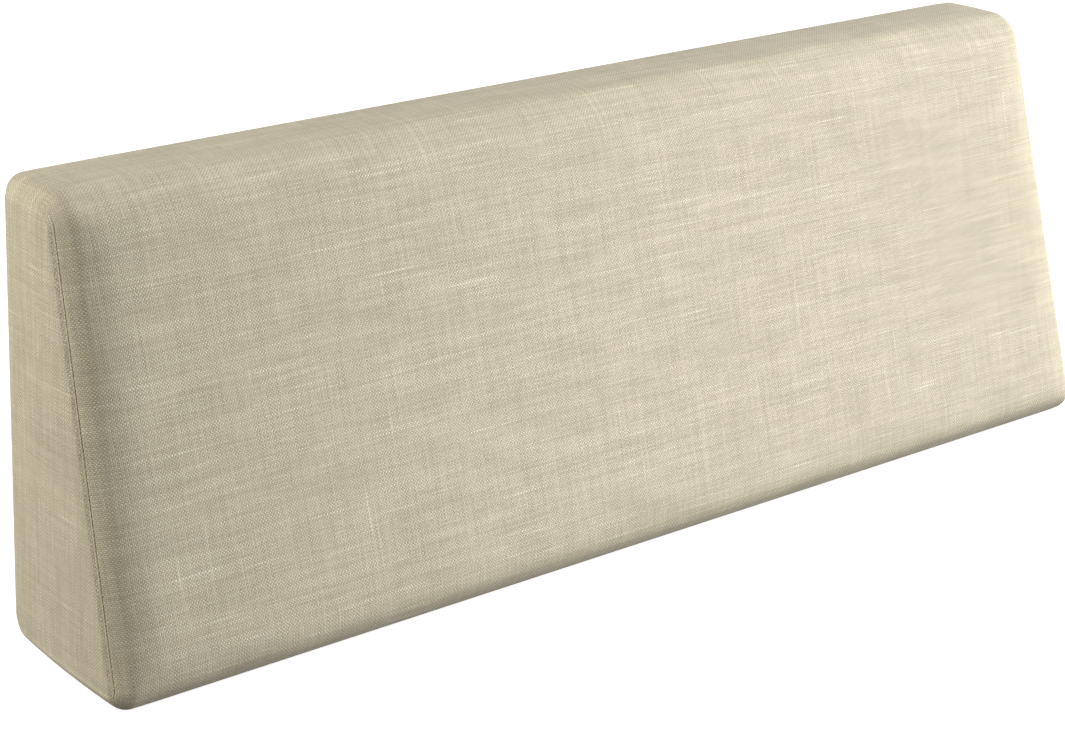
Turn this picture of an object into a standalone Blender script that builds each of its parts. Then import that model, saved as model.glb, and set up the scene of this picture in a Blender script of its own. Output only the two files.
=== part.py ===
"""Backrest pillow: a firm wedge in a sewn cover, with an end panel let into each end.

Metres, +Z up. It stands on its base at z = 0, with X along its length, the slanted front
towards -Y and the upright back towards +Y. The origin is under the middle of the part.
"""

import math

import bpy
import numpy as np

# Driving dimensions
LENGTH = 1.200
HEIGHT = 0.430
BASE_DEPTH = 0.212
TOP_DEPTH = 0.106
END_TAPER = 0.023
BASE_END_BULGE = 0.004
TOP_END_BULGE = 0.003

# Rounding of the four long edges, in the section
BACK_BOTTOM_RADIUS = 0.030
FRONT_BOTTOM_RADIUS = 0.021
FRONT_TOP_RADIUS = 0.032
BACK_TOP_RADIUS = 0.017

# Rounding where the base, front, top and back turn into the end faces
END_RADIUS = 0.016

# Crown of the filled body: how far each side swells out, and the distance from its edges over which it does
FRONT_CROWN = 0.008
TOP_CROWN = 0.003
BACK_CROWN = 0.004
CROWN_REACH = 0.020
END_CROWN = 0.003
END_CROWN_REACH = 0.012

# End panels, sheets in a shallow recess. The seam is a sunk line down their front and back edges
PANEL_THICKNESS = 0.0025
PANEL_GAP = 0.0006
SEAM_INSET = 0.012
OPEN_SEAM_WIDTH = 0.0028
CLOSED_SEAM_WIDTH = 0.0008
SEAM_DIP = 0.0015
SEAM_DIP_REACH = 0.008

# Mesh fineness
ARC_STEPS = 6
SIDE_STEPS = (8, 16, 8, 16)
END_ROUND_STEPS = 5
LENGTH_STATIONS = (0.0, 0.50, 0.86, 0.915, 0.942, 0.962, 0.978, 0.990, 1.0)
PANEL_RINGS = (0.93, 0.82, 0.66, 0.40)
SHARP_ANGLE = math.radians(40)

CLOTH_COLOUR = (0.56, 0.50, 0.37, 1.0)
PANEL_COLOUR = (0.50, 0.44, 0.32, 1.0)
CLOTH_ROUGHNESS = 0.9


def swell(distance, reach):
    """0 at an edge, rising quickly and then ever more slowly to 1 on the flat of a face."""
    return 1.0 - np.exp(-((np.maximum(distance, 0.0) / reach) ** 1.6))


def ease(value):
    t = np.clip(value, 0.0, 1.0)
    return t * t * (3.0 - 2.0 * t)


def section_outline():
    """The wedge's rounded section in (y, z): base, front, top, then back.

    Returns points, outward normals, the side each is on (0 base, 1 front, 2 top, 3 back, and
    fractions on the rounded corners), and the distance along the outline from the nearest corner.
    """
    back = BASE_DEPTH / 2
    corners = np.array([(back, 0.0), (-back, 0.0), (back - TOP_DEPTH, HEIGHT), (back, HEIGHT)])
    radii = (BACK_BOTTOM_RADIUS, FRONT_BOTTOM_RADIUS, FRONT_TOP_RADIUS, BACK_TOP_RADIUS)
    along = np.roll(corners, -1, axis=0) - corners
    along /= np.linalg.norm(along, axis=1)[:, None]
    outward = np.column_stack([along[:, 1], -along[:, 0]]) * -1.0
    turns = [math.acos(float(along[i - 1] @ along[i])) for i in range(4)]
    cuts = [radii[i] * math.tan(turns[i] / 2) for i in range(4)]

    points, normals, sides, distances = [], [], [], []
    for side in range(4):
        corner = (side + 1) % 4
        start = corners[side] + along[side] * cuts[side]
        stop = corners[corner] - along[side] * cuts[corner]
        run = np.linalg.norm(stop - start)
        for step in range(SIDE_STEPS[side] + 1):
            t = (1 - math.cos(math.pi * step / SIDE_STEPS[side])) / 2
            points.append(start + (stop - start) * t)
            normals.append(outward[side])
            sides.append(side)
            before = t * run + radii[side] * turns[side] / 2
            after = (1 - t) * run + radii[corner] * turns[corner] / 2
            distances.append(min(before, after))
        centre = stop - outward[side] * radii[corner]
        for step in range(1, ARC_STEPS):
            t = step / ARC_STEPS
            normal = outward[side] * math.sin((1 - t) * turns[corner])
            normal = normal + outward[corner] * math.sin(t * turns[corner])
            normal /= np.linalg.norm(normal)
            points.append(centre + normal * radii[corner])
            normals.append(normal)
            sides.append(side + t)
            distances.append(abs(t - 0.5) * turns[corner] * radii[corner])
    return np.array(points), np.array(normals), np.array(sides), np.array(distances)


def by_side(sides, base, front, top, back):
    """One value for each point of the section, blended round its corners."""
    return np.interp(sides, (0, 1, 2, 3, 4), (base, front, top, back, base))


def end_face_x(points):
    """Half the length at each (y, z): drawn in towards the top and towards the upright edges."""
    y, z = points[:, 0], points[:, 1]
    back = BASE_DEPTH / 2
    front = -back + (BASE_DEPTH - TOP_DEPTH) * z / HEIGHT
    across = np.clip((2 * y - front - back) / (back - front), -1.0, 1.0)
    bulge = BASE_END_BULGE + (TOP_END_BULGE - BASE_END_BULGE) * z / HEIGHT
    return LENGTH / 2 - END_TAPER * z / HEIGHT - bulge * across**2


class Wedge:
    """Rings of points round the filled wedge, from the middle of its length out to its end face."""

    def __init__(self):
        self.points, self.normals, self.sides, self.distances = section_outline()
        self.end_x = end_face_x(self.points)
        self.end_radius = np.full_like(self.end_x, END_RADIUS)
        crown = by_side(self.sides, 0.0, FRONT_CROWN, TOP_CROWN, BACK_CROWN)
        self.crown = crown * swell(self.distances, CROWN_REACH)
        self.open_seam = ease(by_side(self.sides, 0.0, 1.0, 0.0, 1.0))
        spread = OPEN_SEAM_WIDTH - CLOSED_SEAM_WIDTH
        self.seam_width = CLOSED_SEAM_WIDTH + spread * self.open_seam

    def ring(self, x, across, proud):
        """A ring at x, moved in from the outline by across and out again by proud."""
        section = self.points + self.normals * (proud - across)[:, None]
        return np.column_stack([np.broadcast_to(x, len(section)), section])

    def length_ring(self, station):
        """A ring on the straight part, with station 0 in the middle and 1 at the end's rounding."""
        straight = self.end_x - self.end_radius
        x = station * straight
        from_edge = straight - x + self.end_radius * math.pi / 4
        return self.ring(-x, np.zeros_like(x), self.crown * swell(from_edge, CROWN_REACH))

    def round_ring(self, angle, sink=0.0):
        """A ring on the end's rounding, at an angle from 0, on the side, to pi / 2, on the end face."""
        across = self.end_radius * (1 - np.cos(angle))
        depth = self.end_radius * (1 - np.sin(angle))
        before = np.maximum(self.end_radius * (math.pi / 4 - angle), 0.0)
        after = np.maximum(self.end_radius * (angle - math.pi / 4), 0.0)
        proud = self.crown * swell(before, CROWN_REACH)
        end_proud = END_CROWN * swell(after, END_CROWN_REACH)
        return self.ring(-self.end_x + depth - end_proud + sink, across, proud)

    def face_ring(self, inward, sink=0.0):
        """A ring on the end face, with inward 0 at its rounding and 1 at its middle point."""
        edge = self.ring(0.0, self.end_radius, np.zeros_like(self.end_radius))[:, 1:]
        middle = edge.mean(axis=0)
        section = middle + (edge - middle) * (1 - inward)
        from_edge = np.linalg.norm(section - edge, axis=1) + self.end_radius * math.pi / 4
        x = -end_face_x(section) - END_CROWN * swell(from_edge, END_CROWN_REACH) + sink
        return np.column_stack([x, section])

    def seam_angle(self, offset):
        """The angle on the end's rounding that lies offset from the seam line, inwards if positive."""
        return np.arccos(1 - (SEAM_INSET + offset) / self.end_radius)

    def seam_dip(self, offset):
        """How deep the cloth dips at a distance from the seam line."""
        return SEAM_DIP * self.open_seam * np.exp(-((np.abs(offset) / SEAM_DIP_REACH) ** 2))


def body_rings(wedge):
    """The left half's rings, from the middle of its recess out over the lip to the middle of its length."""
    depth = PANEL_THICKNESS + PANEL_GAP
    half = wedge.seam_width / 2
    rings = [wedge.face_ring(1 - ring, depth) for ring in reversed(PANEL_RINGS)]
    rings.append(wedge.face_ring(0.0, depth))
    rings.append(wedge.round_ring(wedge.seam_angle(half), depth))
    rings.append(wedge.round_ring(wedge.seam_angle(-half), depth))
    lip = wedge.seam_angle(-half)
    for step in range(END_ROUND_STEPS):
        angle = lip * (1 - (step / END_ROUND_STEPS) ** 1.2)
        offset = wedge.end_radius * (1 - np.cos(angle)) - SEAM_INSET
        rings.append(wedge.round_ring(angle, wedge.seam_dip(offset + half)))
    for station in reversed(LENGTH_STATIONS):
        rings.append(wedge.length_ring(station))
    return rings


def panel_rings(wedge):
    """The left panel's rings, from the middle of its outer face round its edge to the middle of its inner face."""
    half = wedge.seam_width / 2
    edge = wedge.seam_angle(half)
    outer = [wedge.face_ring(1 - ring) for ring in reversed(PANEL_RINGS)]
    outer.append(wedge.face_ring(0.0, wedge.seam_dip(wedge.end_radius - SEAM_INSET)))
    outer.append(wedge.round_ring(edge, wedge.seam_dip(0.0)))
    inner = [wedge.round_ring(edge, PANEL_THICKNESS), wedge.face_ring(0.0, PANEL_THICKNESS)]
    for ring in PANEL_RINGS:
        inner.append(wedge.face_ring(1 - ring, PANEL_THICKNESS))
    return outer + inner


def mirrored(rings):
    """The same rings at the other end, in the order that keeps the faces pointing out."""
    return [ring * np.array([-1.0, 1.0, 1.0]) for ring in reversed(rings)]


def closed_loft(name, rings, material):
    """A closed mesh through the rings, its first and last ring each closed round their middle point."""
    count = len(rings[0])
    vertices = [point for ring in rings for point in ring]
    faces = []
    for row in range(len(rings) - 1):
        here, there = row * count, (row + 1) * count
        for k in range(count):
            following = (k + 1) % count
            faces.append((here + k, there + k, there + following, here + following))
    first_middle = len(vertices)
    vertices.append(rings[0].mean(axis=0))
    last_middle = len(vertices)
    vertices.append(rings[-1].mean(axis=0))
    last = (len(rings) - 1) * count
    for k in range(count):
        following = (k + 1) % count
        faces.append((first_middle, k, following))
        faces.append((last_middle, last + following, last + k))
    mesh = bpy.data.meshes.new(name)
    mesh.from_pydata([tuple(map(float, point)) for point in vertices], [], faces)
    mesh.validate()
    mesh.shade_smooth()
    mesh.set_sharp_from_angle(angle=SHARP_ANGLE)
    mesh.materials.append(material)
    piece = bpy.data.objects.new(name, mesh)
    bpy.context.scene.collection.objects.link(piece)
    return piece


def cloth_material(name, colour):
    material = bpy.data.materials.new(name)
    material.use_nodes = True
    shader = material.node_tree.nodes["Principled BSDF"]
    shader.inputs["Base Color"].default_value = colour
    shader.inputs["Roughness"].default_value = CLOTH_ROUGHNESS
    shader.inputs["Metallic"].default_value = 0.0
    return material


def main():
    for old in list(bpy.data.objects):
        bpy.data.objects.remove(old, do_unlink=True)

    wedge = Wedge()
    cover = cloth_material("cover_cloth", CLOTH_COLOUR)
    panel = cloth_material("panel_cloth", PANEL_COLOUR)

    half = body_rings(wedge)
    panels = panel_rings(wedge)
    every_ring = np.concatenate(half)
    middle = (every_ring[:, 1].min() + every_ring[:, 1].max()) / 2

    pieces = [
        closed_loft("cushion", half + mirrored(half[:-1]), cover),
        closed_loft("end_panel_left", panels, panel),
        closed_loft("end_panel_right", mirrored(panels), panel),
    ]
    for piece in pieces:
        piece.location.y = -middle


main()
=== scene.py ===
import math

import bmesh
import bpy
import numpy as np
from mathutils import Matrix, Vector


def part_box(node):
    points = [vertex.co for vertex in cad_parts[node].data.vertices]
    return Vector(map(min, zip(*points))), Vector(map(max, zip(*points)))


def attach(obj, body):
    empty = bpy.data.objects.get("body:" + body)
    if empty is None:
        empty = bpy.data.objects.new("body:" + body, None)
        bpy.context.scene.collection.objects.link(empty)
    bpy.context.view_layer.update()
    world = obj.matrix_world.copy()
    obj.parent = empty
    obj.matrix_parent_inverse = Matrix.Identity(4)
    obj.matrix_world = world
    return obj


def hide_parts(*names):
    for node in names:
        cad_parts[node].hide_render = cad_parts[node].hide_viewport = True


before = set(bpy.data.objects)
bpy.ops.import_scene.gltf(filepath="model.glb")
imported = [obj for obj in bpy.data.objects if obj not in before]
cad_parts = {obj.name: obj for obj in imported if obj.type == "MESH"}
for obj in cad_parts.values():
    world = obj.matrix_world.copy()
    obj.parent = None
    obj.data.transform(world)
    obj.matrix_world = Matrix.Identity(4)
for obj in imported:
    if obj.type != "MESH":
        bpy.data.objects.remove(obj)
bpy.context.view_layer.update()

# The wedge's driving dimensions, in metres
LENGTH = 1.200
HEIGHT = 0.430
BASE_DEPTH = 0.212
TOP_DEPTH = 0.106
END_TAPER = 0.023
BASE_END_BULGE = 0.004
TOP_END_BULGE = 0.003

# Rounding of the four long edges, in the section
BACK_BOTTOM_RADIUS = 0.030
FRONT_BOTTOM_RADIUS = 0.021
FRONT_TOP_RADIUS = 0.032
BACK_TOP_RADIUS = 0.017

# Rounding where the base, front, top and back turn into the end faces
END_RADIUS = 0.016

# Crown of the filled body: how far each side swells out, and the distance from its edges over which it does
FRONT_CROWN = 0.008
TOP_CROWN = 0.003
BACK_CROWN = 0.004
CROWN_REACH = 0.020
END_CROWN = 0.003
END_CROWN_REACH = 0.012

# The seam between the wrap and each end panel
SEAM_INSET = 0.012
SEAM_DEPTH = 0.0012
WRAP_LIP = 0.0014
PANEL_LIP = 0.0007
PANEL_THICKNESS = 0.0022
RECESS_GAP = 0.0006

# Mesh fineness
GRID = 0.006
ARC_STEPS = 12
END_ROUND_STEPS = 12
PANEL_RING_STEP = 0.005
LIP_SHARES = (0.0, 0.06, 0.2, 0.4, 0.6, 0.8, 1.0)

# The weave: distance between neighbouring threads, how far they stray, its relief and how bright the whole is
COLUMN_PITCH = 0.00161
ROW_PITCH = 0.00170
THREAD_WANDER = 0.0020
RELIEF_HEIGHT = 0.00035
RELIEF_STRENGTH = 0.7
CLOTH_TONE = 0.99

# The drift of tone along a thread: its rate per metre, and where on it a pale slub starts and is full
RUN_RATE = 9
RUN_ROUGHNESS = 0.62
ROW_SLUB = (0.62, 0.76)
COLUMN_SLUB = (0.66, 0.80)

# How dark the painted shade in the hollows between threads is, and how much single floats and soft patches
# differ
HOLLOW_SHADE_SHARE = 0.65
FLOAT_CONTRAST = 0.05
PATCH_CONTRAST = 0.04

# The camera that the photo's perspective gives, for the wedge before it is moved to the frame
CAMERA_PLACE = (-1.45084, -1.78485, 1.01628)
CAMERA_AZIMUTH = -37.421
CAMERA_ELEVATION = 20.586
CAMERA_ROLL = -0.136
CAMERA_LENS = 84.105
SENSOR_WIDTH = 36.0

# Stage and lamps
FLOOR_REACH = 30.0
FLOOR_GLOW = 0.75
DOME_RADIUS = 28.0
DOME_GLOW = 1.0
WORLD_GLOW = 0.123
AIM_HEIGHT = 0.21
LAMP_DISTANCE = 3.0
LAMP_SIZE = 1.5
WHITE = (1.0, 1.0, 1.0)
COOL = (0.99, 1.0, 1.05)
WARM = (1.02, 0.99, 0.93)


def swell(distance, reach):
    """0 at an edge, rising quickly and then ever more slowly to 1 on the flat of a face."""
    return 1.0 - np.exp(-((np.maximum(distance, 0.0) / reach) ** 1.6))


def ease(value):
    t = np.clip(value, 0.0, 1.0)
    return t * t * (3.0 - 2.0 * t)


def section_outline():
    """The wedge's rounded section in (y, z): base, front, top, then back.

    Returns points, outward normals, the side each is on (0 base, 1 front, 2 top, 3 back, and
    fractions on the rounded corners), the distance along the outline from the nearest corner,
    and the distance round the outline from the start.
    """
    back = BASE_DEPTH / 2
    corners = np.array([(back, 0.0), (-back, 0.0), (back - TOP_DEPTH, HEIGHT), (back, HEIGHT)])
    radii = (BACK_BOTTOM_RADIUS, FRONT_BOTTOM_RADIUS, FRONT_TOP_RADIUS, BACK_TOP_RADIUS)
    along = np.roll(corners, -1, axis=0) - corners
    along /= np.linalg.norm(along, axis=1)[:, None]
    outward = np.column_stack([along[:, 1], -along[:, 0]]) * -1.0
    turns = [math.acos(float(along[i - 1] @ along[i])) for i in range(4)]
    cuts = [radii[i] * math.tan(turns[i] / 2) for i in range(4)]

    points, normals, sides, distances = [], [], [], []
    for side in range(4):
        corner = (side + 1) % 4
        start = corners[side] + along[side] * cuts[side]
        stop = corners[corner] - along[side] * cuts[corner]
        run = np.linalg.norm(stop - start)
        steps = round(run / GRID)
        for step in range(steps + 1):
            t = step / steps
            points.append(start + (stop - start) * t)
            normals.append(outward[side])
            sides.append(side)
            before = t * run + radii[side] * turns[side] / 2
            after = (1 - t) * run + radii[corner] * turns[corner] / 2
            distances.append(min(before, after))
        centre = stop - outward[side] * radii[corner]
        for step in range(1, ARC_STEPS):
            t = step / ARC_STEPS
            normal = outward[side] * math.sin((1 - t) * turns[corner])
            normal = normal + outward[corner] * math.sin(t * turns[corner])
            normal /= np.linalg.norm(normal)
            points.append(centre + normal * radii[corner])
            normals.append(normal)
            sides.append(side + t)
            distances.append(abs(t - 0.5) * turns[corner] * radii[corner])
    points = np.array(points)
    steps = np.linalg.norm(np.diff(points, axis=0), axis=1)
    around = np.concatenate([[0.0], np.cumsum(steps)])
    return points, np.array(normals), np.array(sides), np.array(distances), around


def by_side(sides, base, front, top, back):
    """One value for each point of the section, blended round its corners."""
    return np.interp(sides, (0, 1, 2, 3, 4), (base, front, top, back, base))


def end_face_x(points):
    """Half the length at each (y, z): drawn in towards the top and towards the upright edges."""
    y, z = points[:, 0], points[:, 1]
    back = BASE_DEPTH / 2
    front = -back + (BASE_DEPTH - TOP_DEPTH) * z / HEIGHT
    across = np.clip((2 * y - front - back) / (back - front), -1.0, 1.0)
    bulge = BASE_END_BULGE + (TOP_END_BULGE - BASE_END_BULGE) * z / HEIGHT
    return LENGTH / 2 - END_TAPER * z / HEIGHT - bulge * across**2


class Wedge:
    """Rings of points round the filled wedge's left half, each with the cloth's own (u, v) in metres."""

    def __init__(self):
        self.points, self.normals, self.sides, self.distances, self.around = section_outline()
        self.end_x = end_face_x(self.points)
        self.end_radius = np.full_like(self.end_x, END_RADIUS)
        crown = by_side(self.sides, 0.0, FRONT_CROWN, TOP_CROWN, BACK_CROWN)
        self.crown = crown * swell(self.distances, CROWN_REACH)
        self.open_seam = ease(by_side(self.sides, 0.0, 1.0, 0.0, 1.0) * 1.6 - 0.6)
        self.straight = self.end_x - self.end_radius

    def ring(self, x, across, proud):
        """A ring at x, moved in from the outline by across and out again by proud."""
        section = self.points + self.normals * (proud - across)[:, None]
        return np.column_stack([np.broadcast_to(x, len(section)), section])

    def length_ring(self, x):
        """A ring on the straight part, x from the middle as a share of its half length."""
        place = x * self.straight
        from_edge = self.straight - place + self.end_radius * math.pi / 4
        points = self.ring(-place, np.zeros_like(place), self.crown * swell(from_edge, CROWN_REACH))
        return points, np.column_stack([-place, self.around])

    def round_ring(self, angle, sink=0.0):
        """A ring on the end's rounding, at an angle from 0, on the side, to pi / 2, on the end face."""
        angle = np.broadcast_to(angle, self.end_x.shape)
        across = self.end_radius * (1 - np.cos(angle)) + sink * np.cos(angle)
        depth = self.end_radius * (1 - np.sin(angle)) + sink * np.sin(angle)
        before = np.maximum(self.end_radius * (math.pi / 4 - angle), 0.0)
        after = np.maximum(self.end_radius * (angle - math.pi / 4), 0.0)
        proud = self.crown * swell(before, CROWN_REACH)
        end_proud = END_CROWN * swell(after, END_CROWN_REACH)
        points = self.ring(-self.end_x + depth - end_proud, across, proud)
        return points, np.column_stack([-self.straight - self.end_radius * angle, self.around])

    def face_ring(self, inward, sink=0.0):
        """A ring on the end face, with inward 0 at its rounding and 1 at its middle point."""
        edge = self.ring(0.0, self.end_radius, np.zeros_like(self.end_radius))[:, 1:]
        middle = edge.mean(axis=0)
        section = middle + (edge - middle) * (1 - inward)
        from_edge = np.linalg.norm(section - edge, axis=1) + self.end_radius * math.pi / 4
        x = -end_face_x(section) - END_CROWN * swell(from_edge, END_CROWN_REACH) + sink
        return np.column_stack([x, section])

    def seam_angle(self):
        """The angle on the end's rounding at which the seam line lies."""
        return np.arccos(1 - SEAM_INSET / self.end_radius)

    def seam_sink(self, distance, lip):
        """How deep the cloth lies at a distance from the seam line, where its edge rolls in over the lip."""
        near = np.clip(1 - distance / lip, 0.0, 1.0)
        return SEAM_DEPTH * (1 - np.sqrt(1 - near**2)) * self.open_seam


def spread(start, stop, step):
    """Evenly spaced values from start to stop, about step apart."""
    return np.linspace(start, stop, max(2, round(abs(stop - start) / step) + 1))


def wrap_rings(wedge):
    """The left half's rings, from inside the seam out over the rounding to the middle of the length."""
    seam = wedge.seam_angle()
    recess = SEAM_DEPTH * wedge.open_seam + PANEL_THICKNESS + RECESS_GAP
    rings = [wedge.round_ring(seam, recess)]
    near = [WRAP_LIP * share for share in LIP_SHARES + (1.6, 2.4)]
    for distance in near:
        rings.append(wedge.round_ring(seam - distance / END_RADIUS, wedge.seam_sink(distance, WRAP_LIP)))
    last = seam - near[-1] / END_RADIUS
    for step in range(1, END_ROUND_STEPS + 1):
        rings.append(wedge.round_ring(last * (1 - step / END_ROUND_STEPS)))
    for x in spread(1.0, 0.0, GRID / (LENGTH / 2))[1:]:
        rings.append(wedge.length_ring(x))
    return rings


def panel_uv(wedge, points):
    """The end panel's cloth runs down from the top, so its threads carry on from the top's."""
    top = wedge.sides == 2
    straight = np.interp(points[:, 1], wedge.points[top, 0], wedge.straight[top])
    u = -straight - END_RADIUS * math.pi / 2 - (HEIGHT - END_RADIUS - points[:, 2])
    v = wedge.around[top][0] + points[:, 1] - wedge.points[top, 0][0]
    return np.column_stack([u, v])


def panel_rings(wedge):
    """The left panel's rings, from the middle of its outer face to its seam and back on its inner face."""
    seam = wedge.seam_angle()
    edge = wedge.face_ring(0.0)
    reach = np.linalg.norm(edge[:, 1:] - wedge.face_ring(1.0)[:, 1:], axis=1).max()
    rings = []
    for inward in spread(1.0, 0.0, PANEL_RING_STEP / reach)[1:]:
        points = wedge.face_ring(inward)
        rings.append((points, panel_uv(wedge, points)))
    edge_uv = panel_uv(wedge, edge)
    outwards = wedge.normals[:, ::-1]
    near = [PANEL_LIP * share for share in (4.0, 2.5, 1.5) + LIP_SHARES[::-1]]
    for distance in near:
        angle = seam + distance / END_RADIUS
        points, _ = wedge.round_ring(angle, wedge.seam_sink(distance, PANEL_LIP))
        run = (math.pi / 2 - angle) * END_RADIUS
        rings.append((points, edge_uv + outwards * run[:, None]))
    points, _ = wedge.round_ring(seam, SEAM_DEPTH * wedge.open_seam + PANEL_THICKNESS)
    rings.append((points, rings[-1][1]))
    for inward in (0.0, 0.25, 0.6):
        points = wedge.face_ring(inward, PANEL_THICKNESS)
        rings.append((points, panel_uv(wedge, points)))
    return rings


def mirrored(rings):
    """The same rings at the other end, in the order that keeps the faces pointing out."""
    flip = np.array([-1.0, 1.0, 1.0])
    turn = np.array([-1.0, 1.0])
    return [(points * flip, uv * turn) for points, uv in reversed(rings)]


def closed_loft(name, rings, round_length, middle_y):
    """A closed mesh through the rings, with the cloth's (u, v) in metres as its UV map."""
    count = len(rings[0][0])
    vertices = np.concatenate([points for points, _ in rings])
    flat = np.concatenate([uv for _, uv in rings])
    faces, corners = [], []
    for row in range(len(rings) - 1):
        here, there = row * count, (row + 1) * count
        for k in range(count):
            following = (k + 1) % count
            faces.append((here + k, there + k, there + following, here + following))
            corners.append(following == 0)
    first_middle = len(vertices)
    last_middle = first_middle + 1
    last = (len(rings) - 1) * count
    ends = np.array([rings[0][0].mean(axis=0), rings[-1][0].mean(axis=0)])
    end_uv = np.array([rings[0][1].mean(axis=0), rings[-1][1].mean(axis=0)])
    vertices = np.concatenate([vertices, ends])
    flat = np.concatenate([flat, end_uv])
    for k in range(count):
        following = (k + 1) % count
        faces.append((first_middle, k, following))
        corners.append(False)
        faces.append((last_middle, last + following, last + k))
        corners.append(False)
    vertices[:, 1] -= middle_y
    mesh = bpy.data.meshes.new(name)
    mesh.from_pydata(vertices.tolist(), [], faces)
    layer = mesh.uv_layers.new(name="cloth")
    values = []
    for face, wraps in zip(faces, corners):
        for place, vertex in enumerate(face):
            u, v = flat[vertex]
            if wraps and place in (2, 3) and round_length:
                v += round_length
            values.extend((u, v))
    layer.data.foreach_set("uv", values)
    mesh.shade_smooth()
    piece = bpy.data.objects.new(name, mesh)
    bpy.context.scene.collection.objects.link(piece)
    return piece


class Shader:
    """Builds a node tree from short calls. Each value is a number or an output socket."""

    def __init__(self, name):
        self.material = bpy.data.materials.new(name)
        self.material.use_nodes = True
        self.tree = self.material.node_tree
        self.principled = self.tree.nodes["Principled BSDF"]

    def put(self, socket, value):
        if isinstance(value, bpy.types.NodeSocket):
            self.tree.links.new(value, socket)
        else:
            socket.default_value = value

    def math(self, operation, *values):
        node = self.tree.nodes.new("ShaderNodeMath")
        node.operation = operation
        for place, value in enumerate(values):
            self.put(node.inputs[place], value)
        return node.outputs[0]

    def add(self, a, b):
        return self.math("ADD", a, b)

    def times(self, a, b):
        return self.math("MULTIPLY", a, b)

    def less(self, a, b):
        return self.math("SUBTRACT", a, b)

    def remap(self, value, low, high, to_low=0.0, to_high=1.0):
        node = self.tree.nodes.new("ShaderNodeMapRange")
        node.interpolation_type = "SMOOTHSTEP"
        for place, item in enumerate((value, low, high, to_low, to_high)):
            self.put(node.inputs[place], item)
        return node.outputs[0]

    def vector(self, x, y, z=0.0):
        node = self.tree.nodes.new("ShaderNodeCombineXYZ")
        for place, item in enumerate((x, y, z)):
            self.put(node.inputs[place], item)
        return node.outputs[0]

    def noise(self, place, detail, roughness=0.5):
        node = self.tree.nodes.new("ShaderNodeTexNoise")
        self.put(node.inputs["Vector"], place)
        node.inputs["Scale"].default_value = 1.0
        node.inputs["Detail"].default_value = detail
        node.inputs["Roughness"].default_value = roughness
        return node.outputs["Fac"]

    def mix(self, share, first, second):
        node = self.tree.nodes.new("ShaderNodeMix")
        node.data_type = "RGBA"
        self.put(node.inputs["Factor"], share)
        self.put(node.inputs["A"], first)
        self.put(node.inputs["B"], second)
        return node.outputs["Result"]


# Tones of the threads. Rows run along the length and are the paler of the two
ROW_DARK = (0.56, 0.505, 0.37, 1.0)
ROW_PALE = (0.75, 0.69, 0.53, 1.0)
COLUMN_DARK = (0.42, 0.37, 0.25, 1.0)
COLUMN_PALE = (0.58, 0.52, 0.38, 1.0)
SLUB_COLOUR = (0.84, 0.80, 0.66, 1.0)
# Painted shade: the dark colour laid into the hollows between the threads
HOLLOW_SHADE_COLOUR = (0.20, 0.165, 0.10, 1.0)


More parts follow.
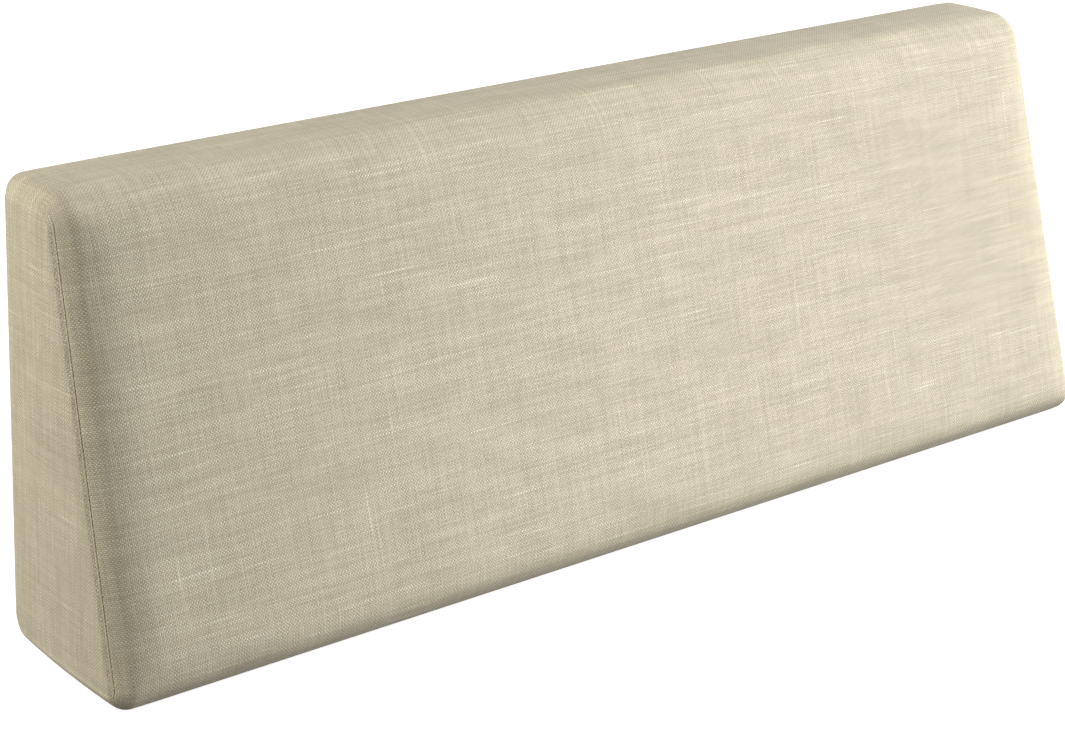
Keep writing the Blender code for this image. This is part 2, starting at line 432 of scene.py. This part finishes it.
def woven_cloth(name):
    """Plain weave from threads along u (rows) and along v (columns), with slubs in both."""
    shader = Shader(name)
    uv = shader.tree.nodes.new("ShaderNodeUVMap")
    uv.uv_map = "cloth"
    split = shader.tree.nodes.new("ShaderNodeSeparateXYZ")
    shader.put(split.inputs[0], uv.outputs[0])
    u, v = split.outputs[0], split.outputs[1]

    wander = shader.noise(shader.vector(shader.times(u, 14), shader.times(v, 60)), detail=2.0)
    sway = shader.noise(shader.vector(shader.times(u, 60), shader.times(v, 14), 3.7), detail=2.0)
    row = shader.times(shader.add(v, shader.times(wander, THREAD_WANDER)), 1 / ROW_PITCH)
    column = shader.times(shader.add(u, shader.times(sway, THREAD_WANDER)), 1 / COLUMN_PITCH)
    row_number = shader.math("FLOOR", row)
    column_number = shader.math("FLOOR", column)
    row_sign = shader.math("COSINE", shader.times(row_number, math.pi))
    column_sign = shader.math("COSINE", shader.times(column_number, math.pi))
    row_wave = shader.math("SINE", shader.times(row, math.pi))
    column_wave = shader.math("SINE", shader.times(column, math.pi))
    row_profile = shader.times(row_wave, row_sign)
    column_profile = shader.times(column_wave, column_sign)

    # Along each thread its tone and thickness drift; a slub is a thick, pale stretch
    row_place = shader.vector(shader.times(u, RUN_RATE), shader.times(row_number, 5.3))
    row_run = shader.noise(row_place, detail=3.0, roughness=RUN_ROUGHNESS)
    column_place = shader.vector(shader.times(column_number, 5.9), shader.times(v, RUN_RATE), 8.1)
    column_run = shader.noise(column_place, detail=3.0, roughness=RUN_ROUGHNESS)
    row_slub = shader.remap(row_run, *ROW_SLUB)
    column_slub = shader.remap(column_run, *COLUMN_SLUB)

    row_height = shader.add(
        shader.times(shader.times(column_wave, row_sign), 0.5),
        shader.add(shader.times(row_profile, 0.55), shader.times(row_slub, 0.35)),
    )
    column_height = shader.add(
        shader.times(shader.times(row_wave, column_sign), -0.5),
        shader.add(shader.times(column_profile, 0.55), shader.times(column_slub, 0.30)),
    )
    height = shader.math("MAXIMUM", row_height, column_height)
    row_on_top = shader.remap(shader.less(row_height, column_height), -0.10, 0.10)

    row_tone = shader.mix(shader.remap(row_run, 0.30, 0.70), ROW_DARK, ROW_PALE)
    row_tone = shader.mix(shader.times(row_slub, 0.8), row_tone, SLUB_COLOUR)
    column_tone = shader.mix(shader.remap(column_run, 0.30, 0.72), COLUMN_DARK, COLUMN_PALE)
    column_tone = shader.mix(shader.times(column_slub, 0.6), column_tone, SLUB_COLOUR)
    tone = shader.mix(row_on_top, column_tone, row_tone)
    # Painted shade: where the weave's height is low, between the threads, the colour is darkened towards the
    # shade colour
    painted_hollow_shade = shader.remap(height, 0.05, 0.62, 1.0, 0.0)
    tone = shader.mix(shader.times(painted_hollow_shade, HOLLOW_SHADE_SHARE), tone, HOLLOW_SHADE_COLOUR)

    # Each float differs a little, and soft patches lie over the whole
    speck = shader.tree.nodes.new("ShaderNodeTexWhiteNoise")
    speck.noise_dimensions = "2D"
    shader.put(speck.inputs["Vector"], shader.vector(row_number, column_number))
    patches = shader.noise(shader.vector(shader.times(u, 16), shader.times(v, 42), 5.0), detail=3.0)
    patch_shade = shader.remap(patches, 0.30, 0.70, 1 - PATCH_CONTRAST, 1 + PATCH_CONTRAST)
    float_shade = shader.add(shader.times(speck.outputs["Value"], 2 * FLOAT_CONTRAST), 1 - FLOAT_CONTRAST)
    shade = shader.times(patch_shade, float_shade)
    scale = shader.tree.nodes.new("ShaderNodeVectorMath")
    scale.operation = "SCALE"
    shader.put(scale.inputs[0], tone)
    shader.put(scale.inputs["Scale"], shader.times(shade, CLOTH_TONE))
    shader.put(shader.principled.inputs["Base Color"], scale.outputs[0])

    bump = shader.tree.nodes.new("ShaderNodeBump")
    bump.inputs["Strength"].default_value = RELIEF_STRENGTH
    bump.inputs["Distance"].default_value = RELIEF_HEIGHT
    shader.put(bump.inputs["Height"], height)
    shader.put(shader.principled.inputs["Normal"], bump.outputs[0])
    shader.principled.inputs["Roughness"].default_value = 0.88
    shader.principled.inputs["Specular IOR Level"].default_value = 0.25
    shader.principled.inputs["Sheen Weight"].default_value = 0.12
    shader.principled.inputs["Sheen Roughness"].default_value = 0.5
    return shader.material


wedge = Wedge()
half = wrap_rings(wedge)
panels = panel_rings(wedge)
box_low, box_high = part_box("cushion")
middle_y = BASE_DEPTH / 2 + BACK_CROWN - box_high.y

round_length = float(wedge.around[-1] + np.linalg.norm(wedge.points[0] - wedge.points[-1]))
body = closed_loft("cushion_cover", half + mirrored(half[:-1]), round_length, middle_y)
left = closed_loft("end_cloth_left", panels, 0.0, middle_y)
right = closed_loft("end_cloth_right", mirrored(panels), 0.0, middle_y)

wrap_cloth = woven_cloth("cover_cloth_weave")
end_cloth = woven_cloth("panel_cloth_weave")
body.data.materials.append(wrap_cloth)
left.data.materials.append(end_cloth)
right.data.materials.append(end_cloth)

for piece, node, slot in (
    (body, "cushion", "cover_cloth"),
    (left, "end_panel_left", "panel_cloth"),
    (right, "end_panel_right", "panel_cloth"),
):
    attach(piece, "root")
    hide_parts(node)


# A white floor and a far white dome, seen by the camera alone, so that only the lamps shade the cloth
def glowing_white(name, glow):
    shader = Shader(name)
    shader.principled.inputs["Base Color"].default_value = (0.80, 0.80, 0.80, 1.0)
    shader.principled.inputs["Roughness"].default_value = 1.0
    shader.principled.inputs["Specular IOR Level"].default_value = 0.0
    shader.principled.inputs["Emission Color"].default_value = (1.0, 1.0, 1.0, 1.0)
    shader.principled.inputs["Emission Strength"].default_value = glow
    return shader.material


def stage_piece(name, mesh, glow):
    piece = bpy.data.objects.new(name, mesh)
    bpy.context.scene.collection.objects.link(piece)
    mesh.materials.append(glowing_white(name + "_white", glow))
    piece.visible_diffuse = False
    piece.visible_glossy = False
    piece.visible_shadow = False
    return piece


floor_mesh = bpy.data.meshes.new("floor")
reach = FLOOR_REACH
corners = [(-reach, -reach, 0.0), (reach, -reach, 0.0), (reach, reach, 0.0), (-reach, reach, 0.0)]
floor_mesh.from_pydata(corners, [], [(0, 1, 2, 3)])
floor = stage_piece("floor", floor_mesh, FLOOR_GLOW)

dome_mesh = bpy.data.meshes.new("backdrop")
dome_shape = bmesh.new()
bmesh.ops.create_uvsphere(dome_shape, u_segments=48, v_segments=24, radius=DOME_RADIUS)
dome_shape.to_mesh(dome_mesh)
dome_shape.free()
stage_piece("backdrop", dome_mesh, DOME_GLOW)

world = bpy.data.worlds.new("studio")
bpy.context.scene.world = world
world.use_nodes = True
world.node_tree.nodes["Background"].inputs["Color"].default_value = (1.0, 1.0, 1.0, 1.0)
world.node_tree.nodes["Background"].inputs["Strength"].default_value = WORLD_GLOW


def softbox(name, azimuth, elevation, distance, size, power, colour, aim_x=0.0):
    """A square lamp seen from the wedge at an azimuth (0 in front, 90 to the right) and an elevation."""
    a, e = math.radians(azimuth), math.radians(elevation)
    away = Vector((math.sin(a) * math.cos(e), -math.cos(a) * math.cos(e), math.sin(e)))
    light = bpy.data.lights.new(name, "AREA")
    light.shape = "SQUARE"
    light.size = size
    light.energy = power
    light.color = colour
    lamp = bpy.data.objects.new(name, light)
    bpy.context.scene.collection.objects.link(lamp)
    lamp.location = Vector((aim_x, 0.0, AIM_HEIGHT)) + away * distance
    lamp.rotation_mode = "QUATERNION"
    lamp.rotation_quaternion = (-away).to_track_quat("-Z", "Y")
    lamp.visible_camera = False


softbox("key_right", 70, 20, LAMP_DISTANCE, LAMP_SIZE, 113.0, COOL)
softbox("key_near", -20, 10, 1.5, 0.8, 14.0, WHITE, aim_x=0.6)
softbox("fill_high", -115, 45, LAMP_DISTANCE, LAMP_SIZE, 41.0, WARM)
softbox("fill_low", -115, 10, LAMP_DISTANCE, LAMP_SIZE, 40.0, WARM)


def view_turn(azimuth, elevation, roll):
    """The camera's rotation for a view from that azimuth and elevation, rolled about its axis."""
    a, e, r = (math.radians(angle) for angle in (azimuth, elevation, roll))
    forward = -np.array([math.sin(a) * math.cos(e), -math.cos(a) * math.cos(e), math.sin(e)])
    across = np.cross(forward, (0.0, 0.0, 1.0))
    across /= np.linalg.norm(across)
    down = np.cross(forward, across)
    right_axis = math.cos(r) * across + math.sin(r) * down
    down_axis = -math.sin(r) * across + math.cos(r) * down
    return Matrix(np.column_stack([right_axis, -down_axis, -forward]).tolist())


lens = bpy.data.cameras.new("camera")
lens.lens = CAMERA_LENS
lens.sensor_width = SENSOR_WIDTH
lens.clip_start, lens.clip_end = 0.1, 60.0
camera = bpy.data.objects.new("camera", lens)
bpy.context.scene.collection.objects.link(camera)
turn = view_turn(CAMERA_AZIMUTH, CAMERA_ELEVATION, CAMERA_ROLL).to_4x4()
place = Matrix.Translation((CAMERA_PLACE[0], CAMERA_PLACE[1] - middle_y, CAMERA_PLACE[2]))
camera.matrix_world = place @ turn
bpy.context.scene.camera = camera

settings = bpy.context.scene.view_settings
settings.view_transform = "Standard"
settings.look = "None"

bpy.context.view_layer.update()
